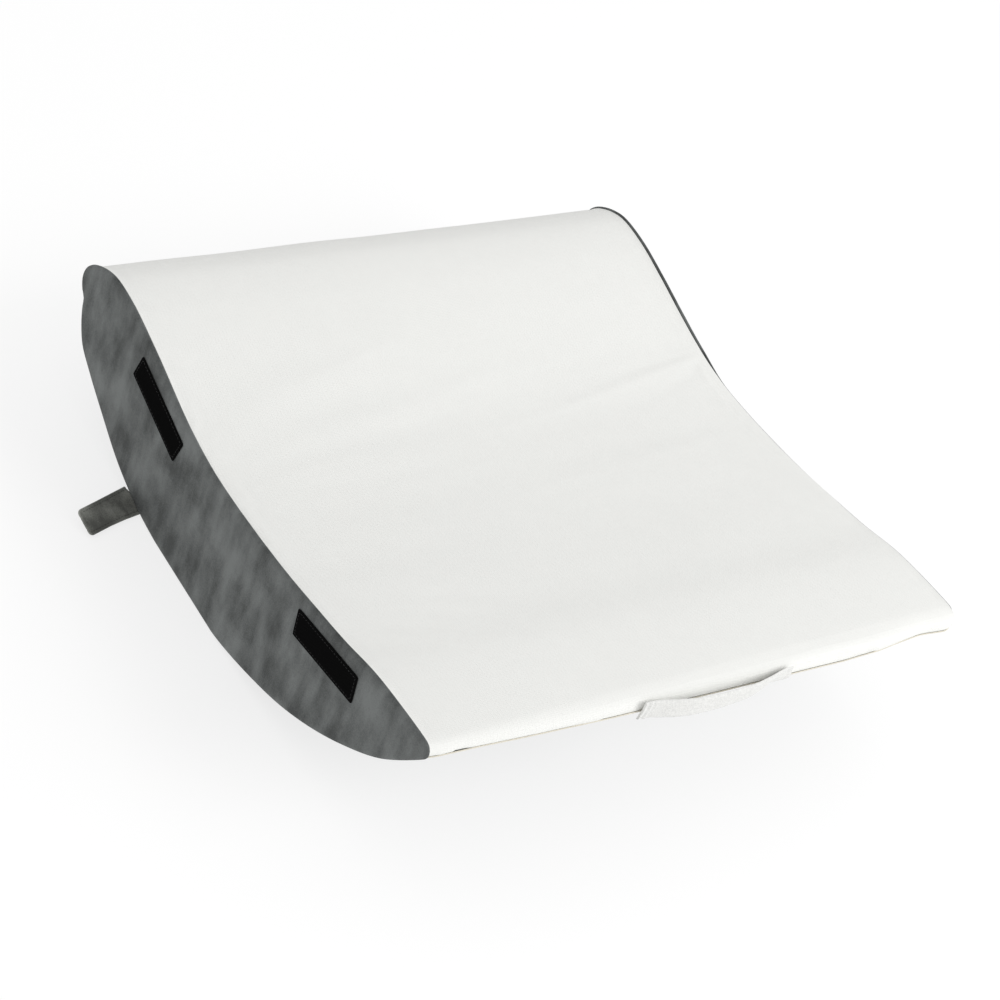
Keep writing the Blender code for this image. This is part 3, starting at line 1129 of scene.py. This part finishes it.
@dataclass
class Handle:
    """The white strap on the front edge, sewn down at both ends and bowed clear between them."""

    cut: Cut
    top: float = 0.1505
    width: float = 0.0195
    thickness: float = 0.002
    rows: tuple = ((-0.072, 0.0002, -0.0010), (-0.060, 0.0004, 0.0004), (-0.043, 0.0045, 0.0050),
                   (-0.025, 0.0075, 0.0075), (0.004, 0.0085, 0.0075), (0.034, 0.0072, 0.0050),
                   (0.052, 0.0040, 0.0), (0.066, 0.0006, -0.0060), (0.076, 0.0004, -0.0080))
    tucks: tuple = ((-0.0668, 0.0009, 0.0011), (-0.0690, -0.0010, 0.0009), (-0.0643, -0.0011, 0.0010),
                    (0.0700, -0.0007, 0.0012))
    step: float = 0.0012
    steps_down: int = 16
    soften: int = 9
    fuzz: float = 0.00012

    def build(self, finish: Thread) -> bpy.types.Object:
        """Build the strap.

        Args:
            finish: Its cloth.

        Returns:
            The object.
        """
        cut = self.cut
        top_line, under_line = cut.runs()
        knots = np.array(self.rows)
        across = np.arange(knots[0, 0], knots[-1, 0], self.step)
        uppers, lowers = (running_mean(np.interp(across, knots[:, 0], knots[:, column]), self.soften)
                          for column in (1, 2))
        section = np.concatenate([resample(top_line, 0.002)[0][-30:], resample(under_line, 0.002)[0][1:60]])
        outline = cut.place(across, section, outward(section))
        down = np.linspace(0.0, 1.0, self.steps_down + 1)
        rings = []
        for index, (x, upper, lower) in enumerate(zip(across, uppers, lowers)):
            front = outline[index, :, 1].min()
            fall = math.sqrt(self.width ** 2 - (upper - lower) ** 2)
            ups = self.top - fall * down
            order = np.argsort(outline[index, :, 2])
            face = np.interp(ups, outline[index, order, 2], outline[index, order, 1])
            inside = np.minimum(front - upper + (upper - lower) * down - 0.0003, face - 0.0007)
            line = np.column_stack([inside, ups])
            round_off = np.sqrt(np.clip(1.0 - (2.0 * down - 1.0) ** 10, 0.0, 1.0))
            thick = self.thickness * (0.35 + 0.65 * round_off) + self.fold(x, down)
            outside = line + outward(line) * thick[:, None]
            ring = np.concatenate([line, outside[::-1]])
            rings.append(np.column_stack([np.full(len(ring), x), ring]))
        rings = np.array(rings)
        fuzz = ripple(rings, 420.0, 4.0) * self.fuzz
        rings[:, self.steps_down + 1:, 1] -= fuzz[:, self.steps_down + 1:]
        piece = Piece("strap_handle")
        piece.loft(rings, cloth_places(np.concatenate([down, down[::-1], down[:1]]) * self.width, across))
        piece.close()
        piece.finish(60.0)
        handle = piece.dress(finish.make(), "white_strap", "handle")
        return handle

    def fold(self, x: float, down: np.ndarray) -> np.ndarray:
        """The ridge between two grooves where the left end is sewn down, and the puckers of the right.

        Args:
            x: The place across the pillow.
            down: Shares of the strap's width, from its upper edge.

        Returns:
            How far the cloth stands out there.
        """
        *left, right = (height * math.exp(-((x - at) / width) ** 2) for at, height, width in self.tucks)
        puckers = right * (0.5 + 0.5 * np.sin(down * 26.0))
        return sum(left) * (0.75 + 0.25 * np.cos(down * 5.0)) + puckers


@dataclass
class PullTab:
    """The doubled suede tab in the lower left seam, topstitched along its edges."""

    cut: Cut
    width: float = 0.0235
    thickness: float = 0.0026
    root: float = 0.1262
    swing: float = 19.5
    rows: tuple = ((-0.0012, 0.0042, 11, 0.0024), (0.0080, 0.0054, 16, 0.0015), (0.0200, 0.0069, 22, 0.0006),
                   (0.0360, 0.0082, 28, 0.0), (0.0555, 0.0090, 32, 0.0), (0.0595, 0.0091, 32, 0.0))
    corner: float = 0.0036
    groove_in: float = 0.0030
    groove: float = 0.00055
    groove_width: float = 0.0008
    unevenness: float = 0.00045

    def frame_at(self, out: np.ndarray) -> tuple[np.ndarray, np.ndarray, np.ndarray, np.ndarray]:
        """The tab's middle line and directions.

        Args:
            out: How far out along the tab.

        Returns:
            The middle points, the directions across and up through the cloth, and the half widths.
        """
        places, ups, tilts, wider = (np.array(column) for column in zip(*self.rows))
        up = np.interp(out, places, ups)
        tilt = np.radians(np.interp(out, places, tilts))
        half = self.width / 2 + np.interp(out, places, wider)
        short = np.clip(out - (places[-1] - self.corner), 0.0, self.corner)
        half = half - self.corner + np.sqrt(np.maximum(self.corner ** 2 - short ** 2, 0.0))
        turn = math.radians(self.swing)
        along = np.array([-math.cos(turn), -math.sin(turn), 0.0])
        level = np.array([math.sin(turn), -math.cos(turn), 0.0])
        root = np.array([-self.cut.half_width, self.root, 0.0])
        middle = root + out[:, None] * along + up[:, None] * np.array([0.0, 0.0, 1.0])
        across = np.cos(tilt)[:, None] * level - np.sin(tilt)[:, None] * np.array([0.0, 0.0, 1.0])
        through = np.cross(along[None, :], across)
        through *= np.sign(through[:, 2:3])
        return middle, across, through, half

    def build(self, finish: Suede, thread: bpy.types.Material) -> list[bpy.types.Object]:
        """Build the tab and its topstitching.

        Args:
            finish: Its suede.
            thread: Its thread.

        Returns:
            The tab and its two rows of stitches.
        """
        first, last = self.rows[0][0], self.rows[-1][0]
        tip = last - self.corner * (1.0 - np.cos(np.linspace(0.0, math.pi / 2, 8)[::-1]))
        out = np.concatenate([np.linspace(first, last - self.corner, 44)[:-1], np.sort(tip)])
        middle, across, through, half = self.frame_at(out)
        share = np.sin(np.linspace(-math.pi / 2, math.pi / 2, 25))
        away = (1.0 - np.abs(share))[None, :] * half[:, None]
        short = (last - out)[:, None]
        groove = -self.groove * np.exp(-((away - self.groove_in) / self.groove_width) ** 2)
        groove -= self.groove * np.exp(-((short - self.groove_in) / self.groove_width) ** 2) * (away > 0.002)
        plump = np.clip(np.minimum(away, short + 0.0004) / 0.0016, 0.0, 1.0)
        rise = self.thickness / 2 * (0.30 + 0.70 * np.sqrt(1.0 - (1.0 - plump) ** 2))
        place = share[None, :] * half[:, None]
        spots = middle[:, None] + across[:, None] * place[..., None]
        uneven = ripple(spots, 130.0, 6.0) * self.unevenness
        upper = spots + through[:, None] * (rise + groove + uneven * plump)[..., None]
        lower = spots - through[:, None] * (rise + groove * 0.6)[..., None]
        rings = np.concatenate([upper, lower[:, ::-1]], axis=1)
        rings[..., 2] = np.maximum(rings[..., 2], 0.0002)
        both = np.concatenate([place, place[:, ::-1], place[:, :1]], axis=1)
        piece = Piece("suede_tab")
        piece.loft(rings, np.stack(np.broadcast_arrays(out[:, None], both), axis=2))
        piece.close()
        piece.finish(70.0)
        tab = piece.dress(finish.make(), "grey_suede", "pull_tab")
        made = [tab]
        runs = np.linspace(0.002, last - self.groove_in, 40)
        middle, across, through, half = self.frame_at(runs)
        above = middle + through * (self.thickness / 2 - 0.0003)
        for sign, name in ((-1, "rear"), (1, "front")):
            line = above + across * (sign * (half - self.groove_in))[:, None]
            row = Stitching(f"tab_stitch_{name}", stitch=0.0022, gap=0.0010, radius=0.00022)
            made.append(row.build(list(line), thread, "grey_suede"))
        return made


# The studio


@dataclass
class Studio:
    """A plain pale floor, soft light and the camera at the photograph's angle."""

    camera_at: tuple = (-1.21496, -1.09024, 1.40190)
    right: tuple = (0.80046, -0.50831, 0.31763)
    up: tuple = (0.15726, 0.68946, 0.70705)
    forward: tuple = (0.57839, 0.51601, -0.63182)
    lens: float = 90.43
    floor_size: float = 9.0
    floor_tone: float = 0.32
    floor_glow: float = 0.72
    sky: float = 0.72
    lamp_at: tuple = (1.3, -1.9, 1.9)
    lamp_size: float = 1.4
    lamp_power: float = 34.0
    lamp_aim: tuple = (0.0, 0.0, 0.1)

    def camera(self) -> None:
        """Set the camera."""
        data = bpy.data.cameras.new("camera")
        data.lens = self.lens
        data.sensor_width = 36.0
        data.clip_start, data.clip_end = 0.05, 60.0
        thing = bpy.data.objects.new("camera", data)
        turn = Matrix((self.right, self.up, [-value for value in self.forward])).transposed()
        thing.matrix_world = Matrix.Translation(self.camera_at) @ turn.to_4x4()
        bpy.context.scene.collection.objects.link(thing)
        bpy.context.scene.camera = thing

    def floor(self) -> None:
        """Lay the floor."""
        mesh = bpy.data.meshes.new("floor")
        bm = bmesh.new()
        bmesh.ops.create_grid(bm, x_segments=8, y_segments=8, size=self.floor_size / 2)
        bm.to_mesh(mesh)
        bm.free()
        thing = bpy.data.objects.new("floor", mesh)
        bpy.context.scene.collection.objects.link(thing)
        graph = Graph("floor_paper", (self.floor_tone,) * 3, 1.0)
        graph.shader.inputs["Specular IOR Level"].default_value = 0.0
        graph.shader.inputs["Emission Color"].default_value = (1.0, 1.0, 1.0, 1.0)
        graph.shader.inputs["Emission Strength"].default_value = self.floor_glow
        mesh.materials.append(graph.material)

    def light(self) -> None:
        """Light the pillow with a bright even room."""
        world = bpy.data.worlds.new("room")
        world.use_nodes = True
        background = world.node_tree.nodes["Background"]
        background.inputs["Color"].default_value = (1.0, 1.0, 1.0, 1.0)
        background.inputs["Strength"].default_value = self.sky
        bpy.context.scene.world = world
        bpy.context.scene.view_settings.view_transform = "Standard"

    def lamp(self) -> None:
        """Hang a square softbox that faces the pillow."""
        data = bpy.data.lights.new("key_softbox", "AREA")
        data.shape = "SQUARE"
        data.size = self.lamp_size
        data.energy = self.lamp_power
        thing = bpy.data.objects.new("key_softbox", data)
        thing.location = self.lamp_at
        toward = Vector(self.lamp_aim) - Vector(self.lamp_at)
        thing.rotation_euler = toward.to_track_quat("-Z", "Y").to_euler()
        bpy.context.scene.collection.objects.link(thing)

    def build(self) -> None:
        """Set the whole studio."""
        self.camera()
        self.floor()
        self.light()
        self.lamp()


def main() -> None:
    """Build, dress and light the pillow."""
    logging.basicConfig(level=logging.INFO, format="%(name)s: %(message)s")
    Studio().build()
    cut = Cut()
    knit = BirdseyeKnit("white_birdseye_knit", (0.885, 0.887, 0.862))
    suede = Suede("grey_suede", (0.120, 0.127, 0.125))
    # The tab's suede is the panels' grey suede painted about twice as light: painted light that lifts the tab
    # out of the shade it lies in.
    tab_suede_painted_light = Suede("tab_suede_painted_light", (0.225, 0.230, 0.210))
    tape = HookTape("black_hook_tape", (0.0040, 0.0040, 0.0040))
    # The strap's white is set about a tenth darker than the knit's white: painted shade that offsets the
    # stronger light the strap catches.
    strap = Thread("white_strap_cloth", (0.79, 0.79, 0.77), twist=700.0, relief=0.0003)
    black_thread = Thread("black_thread", (0.006, 0.006, 0.006)).make()
    grey_thread = Thread("grey_thread", (0.07, 0.072, 0.066)).make()
    cream_thread = Thread("cream_thread", (0.74, 0.70, 0.60)).make()
    strips = (HookStrip(cut, "front", -0.150, 0.1125, -9.0), HookStrip(cut, "rear", 0.127, 0.1065, 14.0))
    FoamBody(cut, Filling()).build(knit)
    for side in Side:
        SidePanel(cut, side, strips).build(suede)
        for strip in strips:
            strip.build(side, tape, black_thread)
    Underside(cut).build(suede)
    FrontSeam(cut).build(cream_thread)
    Handle(cut).build(strap)
    PullTab(cut).build(tab_suede_painted_light, grey_thread)


if __name__ == "__main__":
    main()
